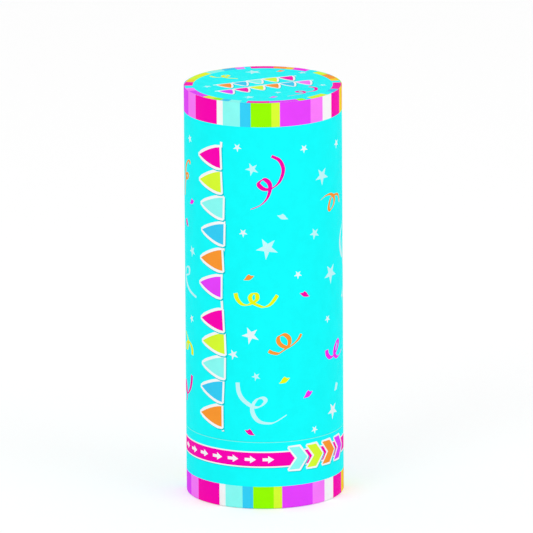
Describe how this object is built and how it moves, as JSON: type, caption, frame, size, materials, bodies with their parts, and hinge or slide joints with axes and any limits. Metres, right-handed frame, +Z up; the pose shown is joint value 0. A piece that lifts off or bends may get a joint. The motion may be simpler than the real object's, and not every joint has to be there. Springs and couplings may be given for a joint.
{
  "type": "confetti popper",
  "caption": "Straight round board tube with a printed party pattern, striped edges and a flat lid; its base twists to release a sprung piston that throws out paper confetti.",
  "frame": {"origin": "middle of the foot, on the surface that the popper stands on", "axes": "+Z up the barrel to the lid, front of the print towards -Y"},
  "size_m": [0.048, 0.048, 0.127],
  "materials": {
    "tube_board": "grey board with a white liner",
    "label_print": "coated, printed cyan with party motifs",
    "stripe_print": "coated, printed in coloured stripes",
    "lid_print": "coated card, printed cyan with a coloured border",
    "white_card": "uncoated white card",
    "moulding": "natural white moulding",
    "key_moulding": "pink moulding",
    "spring_wire": "bright drawn wire",
    "screw_steel": "zinc plated",
    "streamer_paper": "thin coloured paper",
    "slip_tissue": "tissue paper in mixed colours",
    "square_tissue": "tissue paper in mixed colours"
  },
  "bodies": {
    "barrel": {"barrel_tube": "tube_board", "barrel_label": "label_print", "top_edge_band": "stripe_print", "coupler_sleeve": "tube_board", "bearing_ring": "moulding", "main_spring": "spring_wire"},
    "base": {"base_tube": "tube_board", "base_label": "label_print", "base_edge_band": "stripe_print", "bottom_disc": "white_card", "base_plug": "moulding", "latch_key": "key_moulding", "latch_screw": "screw_steel"},
    "piston": {"pusher_piston": "moulding", "piston_wad": "white_card"},
    "load": {"streamer_coil": "streamer_paper", "tissue_slips": "slip_tissue", "tissue_squares": "square_tissue"},
    "lid": {"lid_disc": "lid_print", "lid_plug": "white_card"}
  },
  "joints": [
    {"name": "base_twist", "type": "hinge", "parent": "barrel", "child": "base", "pos_m": [0, 0, 0], "axis": [0, 0, 1], "range_deg": [-90, 0]},
    {"name": "piston_slide", "type": "slide", "parent": "barrel", "child": "piston", "axis": [0, 0, 1], "range_m": [0, 0.066], "deforming": ["main_spring"]},
    {"name": "load_launch", "type": "slide", "parent": "barrel", "child": "load", "axis": [0, 0, 1], "range_m": [0, 0.1056]},
    {"name": "lid_pop", "type": "slide", "parent": "barrel", "child": "lid", "axis": [0, 0, 1], "range_m": [0, 0.1452]}
  ],
  "couplings": [
    {"joint": "load_launch", "follows": "piston_slide", "ratio": 1.6},
    {"joint": "lid_pop", "follows": "piston_slide", "ratio": 2.2}
  ]
}
